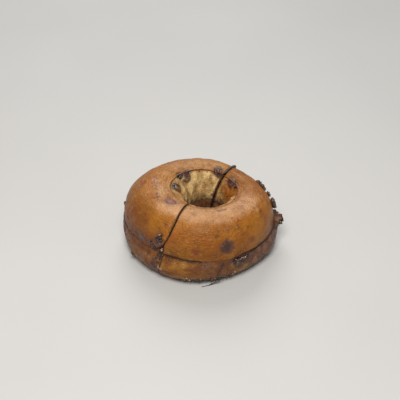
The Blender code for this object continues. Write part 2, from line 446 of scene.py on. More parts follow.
# Marks on the crust: angle and place over the section, radius in mm, tint, strength and height in mm
marks = {
    "crown": (
        (180.5, 0.397, 2.7, "rust", 0.85, 0.35),
        (184.0, 0.375, 1.6, "shade", 0.40, 0.20),
        (176.5, 0.520, 2.1, "lilac", 0.85, 0.60),
        (186.0, 0.540, 2.3, "lilac", 0.85, 0.70),
        (182.0, 0.500, 1.6, "rust", 0.60, 0.20),
        (172.0, 0.500, 1.4, "rust", 0.55, 0.30),
        (195.0, 0.520, 1.5, "rust", 0.6, 0.35),
        (203.0, 0.510, 1.5, "mauve", 0.75, 0.40),
        (210.5, 0.493, 1.4, "mauve", 0.75, 0.35),
        (228.0, 0.600, 2.4, "lilac", 0.60, 0.20),
        (226.0, 0.552, 2.1, "berry", 0.85, -0.20),
        (221.0, 0.535, 1.7, "berry", 0.80, -0.10),
        (216.0, 0.550, 1.5, "berry", 0.60, 0.10),
        (213.0, 0.580, 1.4, "rust", 0.60, 0.10),
        # painted shade in a small slit at the rim
        (236.8, 0.673, 0.9, "creviceShade", 1.0, -0.60),
        (198.0, 0.750, 2.8, "ember", 0.60, 0.20),
        (212.0, 0.730, 2.6, "ember", 0.60, 0.20),
        (224.0, 0.700, 2.2, "gold", 0.60, 0.10),
        (217.5, 0.040, 3.0, "berry", 0.80, 0.35),
        (208.0, 0.060, 2.0, "rust", 0.55, 0.30),
        (199.0, 0.110, 1.9, "shade", 0.6, 0.20),
        (190.0, 0.177, 1.6, "shade", 0.6, 0.20),
        (225.0, 0.045, 2.2, "berry", 0.6, 0.30),
        (230.0, 0.023, 2.6, "berry", 0.90, 0.45),
        (234.0, 0.120, 2.6, "berry", 0.90, 0.45),
        (235.5, 0.170, 2.0, "berry", 0.75, 0.45),
        (237.0, 0.060, 2.2, "shade", 0.80, 0.40),
        (236.5, 0.265, 1.6, "rust", 0.80, 0.30),
        (180.5, 0.127, 1.9, "dusk", 0.8, 1.00),
        (183.5, 0.070, 2.1, "dusk", 0.8, 0.90),
        (188.0, 0.020, 2.6, "dusk", 0.8, 0.80),
        (198.0, 0.010, 2.2, "mauve", 0.6, 0.60),
        (104.0, 0.690, 0.6, "shade", 1.0, -0.25),
        (88.5, 0.690, 0.6, "shade", 1.0, -0.25),
        (106.0, 0.870, 5.0, "pale", 0.35, 1.20),
        (150.0, 0.668, 2.2, "shade", 0.9, -0.20),
        (143.0, 0.680, 2.8, "berry", 0.95, 0.30),
        (136.0, 0.700, 3.2, "shade", 0.9, 0.20),
        (128.0, 0.685, 2.4, "berry", 0.9, 0.25),
        (172.0, 0.735, 2.2, "shade", 0.85, 0.10),
        (180.0, 0.725, 1.6, "berry", 0.85, 0.10),
        (-97.5, 0.085, 2.4, "rust", 0.85, 0.35),
        (-99.0, 0.110, 1.4, "rust", 0.7, 0.20),
        (-110.0, 0.063, 1.0, "mauve", 0.8, 0.80),
        (-82.0, 0.247, 2.0, "brown", 0.75, 0.15),
        (-81.0, 0.290, 1.2, "brown", 0.80, -0.20),
        (-74.0, 0.560, 2.4, "mauve", 0.60, 0.25),
        (-67.0, 0.572, 2.4, "mauve", 0.55, 0.30),
        (-49.0, 0.500, 3.2, "rosy", 0.55, 0.15),
        (-36.0, 0.520, 3.0, "rosy", 0.50, 0.15),
        (-34.0, 0.297, 1.7, "brown", 0.85, 0.30),
        # painted highlight: a pale glint on the right flank
        (-36.0, 0.335, 2.1, "pale", 0.5, 0.20),
        (-53.5, 0.103, 2.8, "rust", 0.7, 0.20),
        (-55.0, 0.247, 1.0, "brown", 0.9, -0.20),
        (-18.0, 0.250, 1.8, "brown", 0.6, 0.20),
        (-84.0, 0.060, 1.5, "berry", 0.6, 0.40),
        (21.0, 0.668, 2.6, "berry", 0.95, 0.30),
        (8.0, 0.672, 2.2, "berry", 0.90, 0.20),
        (5.5, 0.740, 2.4, "amber", 0.6, 0.60),
        (58.0, 0.655, 1.8, "shade", 0.85, -0.30),
        (30.0, 0.730, 2.8, "ember", 0.80, 0.60),
        (16.0, 0.790, 2.6, "ember", 0.75, 0.50),
        (38.0, 0.900, 2.6, "deepOlive", 0.7, 0.30),
        (63.0, 0.920, 1.7, "berry", 0.85, 0.20),
        (69.0, 0.950, 1.8, "mauve", 0.80, 0.40),
        (61.0, 0.860, 1.4, "shade", 0.80, 0.10),
        (63.0, 0.640, 2.4, "berry", 0.75, 0.10),
        (-20.0, 0.760, 1.2, "shade", 0.95, -0.60),
        (-27.0, 0.735, 0.9, "shade", 0.9, -0.40),
    ),
    "heel": (
        (238.5, 0.760, 2.0, "pale", 0.7, 0.45),
        (236.5, 0.960, 2.4, "shade", 0.85, 0.40),
        (233.5, 0.827, 2.0, "berry", 0.75, 0.30),
        (237.0, 0.850, 1.6, "shade", 0.60, 0.20),
        (233.5, 0.707, 2.4, "shade", 0.80, 0.50),
        (227.0, 0.943, 2.0, "berry", 0.75, 0.50),
        (212.0, 0.660, 1.3, "shade", 1.0, 0.45),
        (222.0, 0.800, 3.0, "berry", 0.35, 0.20),
        (216.0, 0.900, 2.5, "mauve", 0.6, 0.30),
        (186.0, 0.930, 2.8, "dusk", 0.7, 0.90),
        (194.0, 0.870, 2.4, "dusk", 0.6, 0.80),
        (204.0, 0.900, 2.4, "mauve", 0.6, 0.60),
        (-105.0, 0.930, 2.6, "tan", 0.45, 0.10),
        (-69.5, 0.823, 3.4, "tan", 0.55, 0.15),
        (-86.0, 0.847, 2.0, "tan", 0.20, 0.15),
        (-60.0, 0.717, 2.8, "tan", 0.75, 0.20),
        (-65.0, 0.700, 2.4, "tan", 0.60, 0.20),
        (-61.0, 0.900, 3.2, "berry", 0.8, 0.50),
        (-66.0, 0.950, 2.8, "mauve", 0.7, 0.50),
        (-72.0, 0.943, 2.4, "berry", 0.8, 0.50),
        (-90.0, 0.950, 2.6, "mauve", 0.6, 0.30),
        (-47.0, 0.930, 2.2, "rosy", 0.6, 0.40),
        (-40.0, 0.880, 2.6, "rosy", 0.6, 0.40),
        (-31.0, 0.930, 2.4, "rosy", 0.6, 0.40),
        (-24.0, 0.850, 2.4, "dusk", 0.6, 0.40),
    ),
}


def swellings(place, on, side):
    # how far the crust sinks or swells at its berries and marks
    warped = vectorMaths(place.tree, "ADD", place, wobble(place, 330.0, 1.1 * mm))
    depth = 0.0
    for berry in berries.values():
        if (berry["on"], berry["side"]) == (on, side):
            radius = berry["radius"] * mm
            bare = 1.0 - berry["cover"]
            depth = depth - pocket["sink"] * bare * near(warped, berry["centre"], 0.55 * radius, 0.45 * radius)
            swell = pocket["buried swell" if berry["cover"] > pocket["buried from"] else "swell"]
            depth = depth + swell * near(warped, berry["centre"], 0.5 * radius, 1.3 * radius)
    for degrees, over, size, _, _, height in marks[on]:
        if (degrees > 50.0) == (side == "left"):
            spot = spotOn(on, degrees, over)
            depth = depth + height * mm * near(warped, spot, 0.2 * size * mm, 1.1 * size * mm)
    return depth


def alongFlow(around, over, aroundScale, overScale):
    return combined(around.tree, around * aroundScale, over * overScale, 0.0)


def sliceOpening(around):
    # how wide the slice gapes, as a share of its gap: it is smeared shut on the left
    shut = 0.97 * between(around, 112.0, 228.0, 10.0) + 0.75 * between(around, -90.0, -72.0, 4.0)
    return 1.0 - shut + 1.1 * between(around, -62.0, -14.0, 6.0) + 0.8 * between(around, -118.0, -96.0, 3.0)


def rimCrease(place, around, over):
    # where the crust creases into the hole: sharp at the back, softer at its sides
    line = over + 0.022 * noise(place, 85.0, 2.0)
    sharp = between(around, 64.0, 132.0, 8.0) + 0.7 * between(around, 140.0, 200.0, 8.0)
    return line, sharp + 0.8 * between(around, -35.0, 45.0, 8.0)


def lipShare(around):
    # 1 at the middle of the torn lip, falling to 0 along the edge
    away = (around - heel["Lip heading"]) / heel["Lip spread"]
    return expOf(-0.7 * away * away)


def lipRibs(place, around):
    return sinOf(around * 96.0 + 10.0 * noise(place, 80.0, 2.0))


def cutRounding(toCut):
    return -0.40 * mm * (1.0 - smooth(toCut, 0.0, 0.9 * mm))


def crownRelief(place, around, over, onSlice, onCut, toCut, side):
    inside = higher(onSlice, onCut)
    inHole = smooth(over, 0.66, 0.74)
    lumps = 1.5 * mm * noise(place, 46.0, 1.3) + 0.55 * mm * noise(place, 120.0, 4.1)
    skin = 0.30 * mm * noise(place, 400.0, 2.2, 3.0) + 0.45 * mm * noise(place, 210.0, 9.2, 2.0)
    folds = absOf(noise(alongFlow(around, over, 2.7, 7.0), 1.0, 6.1, 2.0))
    creases = absOf(noise(alongFlow(around, over, 6.5, 16.0), 1.0, 8.3, 2.0))
    wall = inHole * (3.2 * mm * lower(folds, 0.30) + 1.5 * mm * lower(creases, 0.3) - 0.6 * mm)
    rimWrinkles = 0.8 * mm * noise(alongFlow(around, over, 5.0, 60.0), 1.0, 3.3, 2.0)
    rimWrinkles = rimWrinkles * band(over, 0.58, 0.06, 0.09)
    line, sharp = rimCrease(place, around, over)
    crease = -1.1 * mm * band(line, 0.664, 0.002, 0.010) * sharp
    streaks = 0.0
    if side == "left":
        streaks = 1.1 * mm * noise(alongFlow(around, over, 9.0, 40.0), 1.0, 5.1, 3.0)
        streaks = streaks * (1.0 - smooth(over, 0.10, 0.26)) * between(around, 120.0, 244.0, 14.0)
    crumb = (0.35 * mm * noise(place, 300.0, 5.0, 3.0) - 0.25 * mm) * inside
    lip = -0.40 * mm * (1.0 - smooth(over, 0.0, 0.018)) * clipped(sliceOpening(around))
    surface = lumps + skin + wall + rimWrinkles + crease + streaks + cutRounding(toCut) + lip
    return (surface + swellings(place, "crown", side)) * (1.0 - inside) + crumb


def heelRelief(place, around, over, onSlice, onCut, toCut, side):
    inside = higher(onSlice, onCut)
    sidewall = smooth(over, 0.50, 0.62)
    inner = 1.0 - smooth(over, 0.18, 0.26)
    bare = sidewall + inner
    lumps = (1.5 * mm * noise(place, 52.0, 7.3) + 0.6 * mm * noise(place, 140.0, 8.1)) * bare
    skin = 0.24 * mm * noise(place, 430.0, 6.2, 3.0) * bare
    streaks = 0.7 * mm * noise(alongFlow(around, over, 9.0, 34.0), 1.0, 5.6, 3.0) * sidewall
    if side == "left":
        streaks = streaks * 1.5
    else:
        streaks = streaks * (1.0 - 0.7 * between(around, -118.0, -84.0, 6.0))
    foot = 1.2 * mm * noise(place, 210.0, 9.0, 3.0) * band(over, 0.60, 0.04, 0.07)
    pores = -0.35 * mm * (1.0 - smooth(cells(place, 260.0), 0.10, 0.28)) * (1.0 - bare) * (1.0 - inside)
    onLip = lipShare(around) * smooth(over, 0.86, 0.93) if side == "right" else 0.0
    ribs = 0.55 * mm * lipRibs(place, around) * onLip
    crumb = (0.35 * mm * noise(place, 280.0, 5.5, 3.0) - 0.25 * mm) * inside
    rounding = cutRounding(toCut) - 0.35 * mm * smooth(over, 0.985, 1.0) * clipped(sliceOpening(around))
    surface = lumps + skin + streaks + foot + pores + rounding + swellings(place, "heel", side) * bare
    return surface * (1.0 - inside) + crumb + ribs


# What the crust's points keep: angle, place over the section, on the slice, on a cut, way to a cut
crustKeys = ("around", "over", "onSlice", "onCut", "toCut")


def breadTree(name, on, relief, side, material):
    profile, sizes = profiles[on]
    cuts = {"Start heading": 0.0, "Start lean": 0.0, "Start distance": 0.0,
            "End heading": 0.0, "End lean": 0.0, "End distance": 0.0, "Hole X": 0.0, "Hole Y": 0.0}
    tree, size = newTree(name, {**ring, **sizes, **cuts, **bow})
    gap, level = size["Slice gap"], size["Slice height"]
    aroundSteps = fineness[side] + 2 * fineness["cap"]
    sectionSteps = fineness["crust"] + fineness["slice"]
    sheet = make(tree, "GeometryNodeMeshGrid", None,
                 {"Size X": 1.0, "Size Y": 1.0,
                  "Vertices X": sectionSteps + 1, "Vertices Y": aroundSteps + 1})
    apart = split(position(tree))
    section, length = apart + 0.5, apart.output("Y") + 0.5
    crustShare = fineness["crust"] / sectionSteps
    capShare = fineness["cap"] / aroundSteps
    onSlice = above(section, crustShare + 0.3 / sectionSteps)
    over = clipped(lower(section / crustShare, (1.0 - section) / (1.0 - crustShare)))
    shrink = lower(lower(length / capShare, (1.0 - length) / capShare), 1.0)
    share = clipped((length - capShare) / (1.0 - 2.0 * capShare))
    turn = size["Start heading"] + share * (size["End heading"] - size["Start heading"])

    def swing(end, radius, height):
        # how far round from its heading a cut's face lies; the blade wandered a little
        lean = size[end + " lean"]
        atFront = (end == "Start") == (side == "right")
        wander = 1.5 * mm * noise(combined(tree, radius, height, 0.0), 75.0, 2.0 if atFront else 7.0)
        if atFront:
            away = (height - size["Bow height"]) / size["Bow spread"]
            wander = wander + size["Bow start"] + size["Bow"] * expOf(-1.0 * away * away)
            flare = size["Flare"] * smooth(height, 28.0 * mm, 40.0 * mm)
            wander = wander + flare * (1.0 if side == "right" else -1.0)
        away = size[end + " distance"] + wander + height * sinOf(lean)
        return asinOf(away / (radius * cosOf(lean)))

    around = turn
    for _ in range(2):
        size["Slice gap"] = gap * sliceOpening(around)
        size["Slice height"] = level + 1.3 * mm * noise(combined(tree, around * 5.0, 0.0, 0.0), 1.0, 3.2)
        radius, height = profile(size, around, over)
        inner, base = profile(size, around, 0.0)
        outer, _ = profile(size, around, 1.0)
        straight = inner + over * (outer - inner)
        radius = radius + onSlice * (straight - radius)
        height = height + onSlice * (base - height)
        core = (inner + outer) * 0.5
        middle = (base + profile(size, around, 0.5)[1]) * 0.5
        radius = core + shrink * (radius - core)
        height = middle + shrink * (height - middle)
        around = turn + (1.0 - share) * swing("Start", radius, height)
        around = around + share * swing("End", radius, height)
    spot = roundAxis(size, around, radius, height)
    toCut = lower(share, 1.0 - share) * (size["End heading"] - size["Start heading"]) * radius
    shape = sheet
    onCut = 1.0 - above(shrink, 0.999)
    for key, value in zip(crustKeys, (around, over, onSlice, onCut, toCut)):
        shape = stored(tree, shape, key, value)
    shape = placed(tree, shape, spot)
    shape = make(tree, "GeometryNodeMergeByDistance", None, {"Geometry": shape, "Distance": 0.02 * mm})

    kept = [make(tree, "GeometryNodeInputNamedAttribute", {"data_type": "FLOAT"}, {"Name": key})
            for key in crustKeys]
    shape = pushed(tree, shape, relief(position(tree), *kept, side))
    rested = split(position(tree))
    rested = combined(tree, rested, rested.output("Y"), higher(rested.output("Z"), 0.0))
    shape = placed(tree, shape, rested)
    finishTree(tree, shape, material)
    return tree


def breadPiece(node, on, relief, side, material):
    first, last = (frontCut, backCut) if side == "right" else (backCut, frontCut)
    fullTurn = math.tau if side == "left" else 0.0
    settings = {**ring, **profiles[on][1], **bow, "Hole X": holeX, "Hole Y": holeY,
                "Start heading": first["heading"], "Start lean": first["lean"],
                "Start distance": first["distance"] + first["width"] / 2,
                "End heading": last["heading"] + fullTurn, "End lean": last["lean"],
                "End distance": last["distance"] - last["width"] / 2}
    tree = breadTree(node + "Tree", on, relief, side, material)
    piece = grow(node + "Bread", tree, settings, material)
    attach(piece, "root")
    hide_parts(node)
    print(piece.name, len(piece.data.polygons), "faces")


crustColours = {
    "gold": (0.34, 0.122, 0.009),
    "amber": (0.250, 0.073, 0.004),
    "ember": (0.42, 0.125, 0.012),
    "lilac": (0.27, 0.125, 0.100),
    "brown": (0.120, 0.034, 0.006),
    "pale": (0.50, 0.275, 0.125),
    "sheen": (0.60, 0.350, 0.190),
    "rosy": (0.30, 0.120, 0.070),
    "mauve": (0.135, 0.052, 0.034),
    "dusk": (0.075, 0.028, 0.017),
    "olive": (0.78, 0.55, 0.25),
    "tan": (0.33, 0.185, 0.040),
    "deepOlive": (0.38, 0.23, 0.080),
    "shade": (0.020, 0.009, 0.006),
    "rust": (0.20, 0.036, 0.012),
    "rustBrown": (0.150, 0.050, 0.018),
    "berry": (0.040, 0.015, 0.019),
    # painted shade for cuts, slits and creases, where light does not reach
    "creviceShade": (0.070, 0.024, 0.010),
}


def mixed(base, top, factor):
    # base and top are names of colours, colours or wires, and factor a wire
    tree = factor.tree
    node = tree.nodes.new("ShaderNodeMix")
    node.data_type = "RGBA"
    plug(tree, node.inputs["Factor"], factor)
    for slot, value in ((node.inputs[6], base), (node.inputs[7], top)):
        if not isinstance(value, Wire):
            value = (*crustColours.get(value, value), 1.0) if isinstance(value, str) else (*value, 1.0)
        plug(tree, slot, value)
    return Wire(tree, node.outputs[2])


def newMaterial(name):
    material = bpy.data.materials.new(name)
    material.use_nodes = True
    tree = material.node_tree
    return material, tree, tree.nodes["Principled BSDF"], make(tree, "ShaderNodeTexCoord", output="Object")


def bumped(tree, shader, height, strength, distance):
    bump = make(tree, "ShaderNodeBump", None, {"Strength": strength, "Distance": distance, "Height": height})
    plug(tree, shader.inputs["Normal"], bump)


def storedValue(tree, name):
    return make(tree, "ShaderNodeAttribute", {"attribute_name": name}, None, "Fac")


def strewn(place, scale, seed, share, size):
    # spots scattered over a share of the cells of a pattern
    moved = vectorMaths(place.tree, "ADD", place, (seed * 0.013, seed * 0.007, seed * 0.011))
    spots = cells(moved, scale)
    chosen = split(spots.output("Color"))
    return (1.0 - smooth(spots, 0.45 * size, size)) * above(chosen, 1.0 - share)


def crownPaint(place, warped, around, over):
    # a golden top with a painted sheen along its crest and painted highlights on the hole's rim and back, an amber
    # side, a darker foot and an olive hole
    toast = smooth(noise(place, 40.0, 1.0, 3.0), -0.13, 0.15)
    colour = mixed("amber", "gold", toast)
    ruddy = smooth(noise(place, 66.0, 5.5, 2.0), 0.02, 0.2) * (1.0 - smooth(over, 0.42, 0.55))
    colour = mixed(colour, (0.29, 0.060, 0.004), ruddy * 0.6)
    dusk = smooth(noise(place, 130.0, 7.7, 3.0), 0.02, 0.22)
    colour = mixed(colour, "brown", dusk * 0.45)
    streak = noise(alongFlow(around, over, 12.0, 54.0), 1.0, 21.0, 3.0, 0.55)
    colour = mixed(colour, "brown", smooth(streak, 0.04, 0.20) * (0.15 + 0.3 * band(over, 0.50, 0.06, 0.08)))
    # painted sheen: a pale pinkish highlight along the front crest, broken into patches
    front = between(around, -150.0, -34.0, 26.0) + between(around, 224.0, 260.0, 14.0)
    top = band(over + 0.06 * noise(place, 90.0, 12.0, 3.0), 0.500, 0.080, 0.090)
    sheenPatches = 0.46 + 0.9 * noise(place, 150.0, 19.0, 3.0)
    colour = mixed(colour, "sheen", top * clipped(front) * sheenPatches)
    # painted highlight: a paler rim round the hole and a paler back crest, where light catches the crust
    rimHighlight = band(over, 0.585, 0.035, 0.09) * smooth(noise(place, 120.0, 6.0, 3.0), -0.25, 0.2)
    back = between(around, 66.0, 138.0, 15.0)
    colour = mixed(colour, "pale", back * band(over, 0.54, 0.08, 0.10) * 0.34)
    bright = back * 0.30 + between(around, 165.0, 212.0, 12.0) * 0.55
    colour = mixed(colour, "pale", clipped(rimHighlight * (0.36 + bright)))
    foot = 1.0 - smooth(over + 0.08 * noise(place, 90.0, 2.4), 0.02, 0.16)
    colour = mixed(colour, "brown", foot * (0.75 - 0.45 * between(around, -124.0, -30.0, 12.0)))
    folds = noise(alongFlow(around, over, 4.0, 8.0), 1.0, 6.1, 3.0)
    wall = mixed("deepOlive", "olive", smooth(folds, -0.12, 0.14))
    orange = smooth(noise(place, 60.0, 8.8, 2.0), 0.0, 0.12)
    rightWall = 1.0 - smooth(absOf(around - math.radians(15.0)), 0.4, 0.8)
    wall = mixed(wall, "amber", clipped(orange * 0.5 + rightWall * 0.75))
    inHole = smooth(over + 0.03 * noise(place, 140.0, 1.7), 0.662, 0.71)
    colour = mixed(colour, wall, inHole)
    deep = smooth(over, 0.90, 1.0)
    colour = mixed(colour, "shade", deep * 0.6)
    wavy = 0.10 * noise(alongFlow(around, over, 3.0, 16.0), 1.0, 3.3, 3.0)
    leftBand = 1.0 - smooth(over + wavy, 0.04, 0.13)
    leftBand = leftBand * between(around, 118.0, 212.0, 22.0)
    grey = mixed("mauve", "dusk", smooth(noise(alongFlow(around, over, 9.0, 40.0), 1.0, 5.1, 3.0), -0.1, 0.1))
    colour = mixed(colour, grey, leftBand * 0.9)
    shoulder = between(around, 172.0, 214.0, 12.0) * band(over, 0.20, 0.12, 0.14)
    colour = mixed(colour, "brown", shoulder * 0.35)
    line, sharp = rimCrease(place, around, over)
    # painted shade along the crease into the hole
    colour = mixed(colour, "creviceShade", band(line, 0.665, 0.002, 0.008) * clipped(sharp) * 0.9)
    wedge = near(warped, spotOn("crown", 60.0, 0.69), 1.6 * mm, 1.6 * mm)
    colour = mixed(colour, "shade", wedge * 0.9)
    lowEdge = 1.0 - smooth(over + 0.02 * noise(place, 190.0, 2.8), 0.004, 0.018)
    return mixed(colour, "shade", lowEdge * 0.9 * clipped(sliceOpening(around)))


def heelPaint(place, warped, around, over):
    # amber and brown crust in front, mauve and streaked elsewhere, darker towards the foot, with painted shade
    # just under the slice
    height = split(place).output("Z")
    toast = smooth(noise(alongFlow(around, over, 5.0, 9.0), 1.0, 2.0, 3.0), -0.15, 0.15)
    colour = mixed((0.135, 0.038, 0.005), (0.32, 0.122, 0.012), toast)
    # painted shade on the heel just under the crown's overhang
    colour = mixed(colour, "brown", smooth(over, 0.86, 0.97) * 0.5)
    front = between(around, -124.0, -103.0, 12.0) + between(around, 221.0, 250.0, 8.0) * 0.40
    patches = smooth(noise(place, 62.0, 4.0, 3.0), -0.10, 0.06)
    grey = mixed("mauve", "dusk", smooth(noise(alongFlow(around, over, 9.0, 24.0), 1.0, 5.6, 3.0), -0.08, 0.12))
    grey = mixed(grey, "rosy", smooth(noise(place, 190.0, 24.0, 3.0), 0.02, 0.16) * 0.75)
    grey = mixed(grey, "rustBrown", between(around, -100.0, -76.0, 6.0) * 0.7)
    grey = mixed(grey, "shade", smooth(noise(place, 240.0, 27.0, 3.0), 0.06, 0.18) * 0.6)
    right = between(around, -60.0, 40.0, 8.0)
    greyed = clipped(higher(patches * 0.9, 0.45) + right * 0.5)
    colour = mixed(colour, grey, greyed * (1.0 - clipped(front)))
    # darker towards the foot, most at the front
    frontFootWeight = between(around, -108.0, -72.0, 6.0) * 0.85 + 0.15
    climb = between(around, -110.0, -78.0, 8.0) * 2.2 * mm
    darkFoot = 1.0 - smooth(height - climb + 7.0 * mm * noise(place, 130.0, 5.0, 3.0), 2.0 * mm, 4.6 * mm)
    beneath = band(over, 0.37, 0.12, 0.06)
    colour = mixed(colour, "shade", darkFoot * 0.75 * (1.0 - beneath) * clipped(frontFootWeight))
    oily = band(height, 4.5 * mm, 2.5 * mm, 1.5 * mm) * smooth(noise(place, 240.0, 13.0, 3.0), 0.0, 0.12)
    colour = mixed(colour, "deepOlive", oily * 0.55 * clipped(frontFootWeight) * (1.0 - beneath))
    bottom = mixed("brown", (0.33, 0.15, 0.045), smooth(noise(place, 50.0, 11.0, 3.0), -0.12, 0.12))
    colour = mixed(colour, bottom, beneath)
    onLip = lipShare(around) * smooth(over, 0.80, 0.90)
    ribs = smooth(lipRibs(place, around), -0.2, 0.7)
    colour = mixed(colour, mixed((0.17, 0.095, 0.066), "dusk", ribs), onLip)
    topEdge = smooth(over + 0.02 * noise(place, 190.0, 2.8), 0.982, 0.996)
    return mixed(colour, "shade", topEdge * 0.9 * clipped(sliceOpening(around)))


def crustMaterial(name, on, paint):
    material, tree, shader, place = newMaterial(name)
    around, over, onSlice, onCut, toCut = [storedValue(tree, key) for key in crustKeys]
    warped = vectorMaths(tree, "ADD", place, wobble(place, 260.0, 1.5 * mm))
    colour = paint(place, warped, around, over)
    blotch = strewn(warped, 62.0, 3.0, 0.45, 0.22) * smooth(around, math.radians(45.0), math.radians(60.0))
    blotch = blotch * (1.0 - smooth(around, math.radians(150.0), math.radians(170.0)))
    colour = mixed(colour, "berry", blotch * 0.7)
    colour = mixed(colour, "rust", strewn(warped, 90.0, 8.0, 0.35, 0.20) * 0.45)
    stain = None
    for degrees, overMark, size, tint, strength, _ in marks[on]:
        mask = near(warped, spotOn(on, degrees, overMark), 0.35 * size * mm, 0.95 * size * mm)
        colour = mixed(colour, tint, mask * strength)
        if tint in ("berry", "mauve", "lilac"):
            stain = mask if stain is None else higher(stain, mask)
    for berry in berries.values():
        if berry["on"] == on:
            radius = berry["radius"] * mm
            reach = near(warped, berry["centre"], 0.75 * radius, 0.9 * radius)
            buried = berry["cover"] > pocket["buried from"]
            halo = "lilac" if buried else "mauve"
            colour = mixed(colour, halo, reach * (0.45 + 0.3 * berry["cover"]))
            core = near(warped, berry["centre"], 0.50 * radius, (0.60 + 0.45 * berry["cover"]) * radius)
            if not buried:
                colour = mixed(colour, "berry", core * 0.92)
            stain = higher(stain, core * (1.0 - berry["cover"]))
    inside = higher(onSlice, onCut)
    # painted shade: darker crust along the cut edges, and the cut faces' crumb darkened toward the crevice colour
    creviceShade = 1.0 - smooth(toCut + 0.5 * mm * noise(place, 420.0, 7.0), 0.12 * mm, 0.62 * mm)
    colour = mixed(colour, "creviceShade", creviceShade * 0.9)
    shadedCrumb = smooth(noise(place, 260.0, 2.0, 3.0), -0.1, 0.2)
    shadedCrumb = mixed("creviceShade", (0.16, 0.085, 0.05), shadedCrumb)
    colour = mixed(colour, shadedCrumb, inside)
    fine = noise(place, 650.0, 3.0, 4.0, 0.6)
    speckle = strewn(place, 330.0, 5.0, 0.05, 0.26)
    colour = mixed(colour, "brown", speckle * 0.5 * (1.0 - inside))
    colour = mixed(colour, "dusk", smooth(noise(place, 230.0, 31.0, 3.0), 0.03, 0.20) * 0.38)
    colour = mixed(colour, "dusk", clipped(fine) * 0.6)
    # pale flecks scattered over the crust
    paleFlecks = clipped(noise(place, 300.0, 14.0, 3.0) - 0.05) * 1.2
    colour = mixed(colour, "pale", paleFlecks * (1.0 - inside))
    plug(tree, shader.inputs["Base Color"], colour)
    rough = 0.38 + 0.42 * inside + 0.40 * higher(noise(place, 190.0, 15.0, 3.0), 0.0) - 0.14 * stain
    plug(tree, shader.inputs["Roughness"], clipped(rough))
    wrinkles = noise(alongFlow(around, over, 16.0, 66.0), 1.0, 21.0, 3.0, 0.55)
    grain = noise(place, 950.0, 8.0, 3.0, 0.6)
    relief = wrinkles * 1.1 + grain * 0.45 + noise(place, 330.0, 9.0, 3.0) * 1.0 - speckle * 0.4
    bumped(tree, shader, relief, 0.9, 0.85 * mm)
    plug(tree, shader.inputs["Coat Weight"], 0.05 + 0.45 * stain)
    shader.inputs["Specular IOR Level"].default_value = 0.5
    shader.inputs["Specular Tint"].default_value = (1.0, 0.70, 0.42, 1.0)
    shader.inputs["Coat Roughness"].default_value = 0.16
    return material


def berryMaterial():
    # bare fruit is dark and wet, covered fruit is stained bread
    material, tree, shader, place = newMaterial("bakedBlueberry")
    cover = storedValue(tree, "cover")
    cloud = smooth(noise(place, 260.0, 2.0, 4.0), -0.10, 0.18)
    fruit = mixed((0.012, 0.006, 0.009), (0.050, 0.022, 0.030), cloud)
    fruit = mixed(fruit, (0.12, 0.045, 0.028), smooth(noise(place, 400.0, 6.0, 3.0), 0.10, 0.2) * 0.6)
    patches = smooth(noise(place, 170.0, 5.0, 3.0), -0.15, 0.2)
    skin = mixed((0.10, 0.040, 0.030), (0.26, 0.115, 0.070), patches)
    skin = mixed((0.050, 0.021, 0.026), skin, smooth(cover, 0.75, 1.0))
    plug(tree, shader.inputs["Base Color"], mixed(fruit, skin, smooth(cover, 0.2, 0.7)))
    plug(tree, shader.inputs["Roughness"], 0.20 + 0.20 * cloud + 0.15 * cover)
    bumped(tree, shader, noise(place, 600.0, 4.0, 4.0, 0.6) + 0.6 * cells(place, 420.0), 0.5, 0.4 * mm)
    plug(tree, shader.inputs["Coat Weight"], 0.40 - 0.38 * cover)
    shader.inputs["Coat Roughness"].default_value = 0.15
    return material


def shredMaterial(name, dark, light, roughness):
    material, tree, shader, place = newMaterial(name)
    tint = smooth(noise(place, 300.0, 2.0, 3.0), -0.15, 0.2)
    plug(tree, shader.inputs["Base Color"], mixed(dark, light, tint))
    plug(tree, shader.inputs["Roughness"], roughness + 0.15 * tint)
    bumped(tree, shader, noise(place, 800.0, 4.0, 3.0, 0.6), 0.5, 0.3 * mm)
    shader.inputs["Coat Weight"].default_value = 0.2
    return material


def floorMaterial():
    material, tree, shader, place = newMaterial("paleTable")
    tint = smooth(noise(place, 6.0, 2.0, 2.0), -0.2, 0.2)
    plug(tree, shader.inputs["Base Color"], mixed((0.52, 0.512, 0.496), (0.54, 0.532, 0.516), tint))
    shader.inputs["Roughness"].default_value = 0.6
    return material


berryShape = {
    "Radius": 4.0 * mm,
    "Wrinkle": 0.95 * mm,
    "Flatness": 0.50,
    "Dent": 0.30,
    "Cover": 0.0,
    "Seed": 0.0,
}


def berryTree(material):
    # a squashed ball, crinkled all over and sunken at its top where it is bare
    tree, size = newTree("berryTree", berryShape)
    ball = make(tree, "GeometryNodeMeshIcoSphere", None, {"Radius": 1.0, "Subdivisions": 5})
    ball = stored(tree, ball, "cover", size["Cover"])
    place = position(tree)
    apart = split(place)
    field = vectorMaths(tree, "ADD", scaled(place, size["Radius"]), combined(tree, size["Seed"] * 0.031, 0.0, 0.0))
    bare = 1.0 - size["Cover"]
    outwards = (apart * apart + apart.output("Y") * apart.output("Y")) ** 0.5
    sunk = size["Dent"] * bare * (1.0 - smooth(outwards, 0.1, 0.75)) * above(apart.output("Z"), 0.0)
    swell = scaled(place, size["Radius"] * (1.0 - sunk))
    spot = vectorMaths(tree, "MULTIPLY", swell, combined(tree, 1.0, 1.0, size["Flatness"]))
    shape = placed(tree, ball, spot)
    lumpy = absOf(noise(field, 190.0, 5.0, 2.0)) * 4.0
    crinkle = 1.8 * lower(lumpy, 0.8) - 0.8 + 1.4 * noise(field, 420.0, 1.0, 3.0)
    shape = pushed(tree, shape, size["Wrinkle"] * crinkle * (0.30 + 0.70 * bare))
    finishTree(tree, shape, material)
    return tree


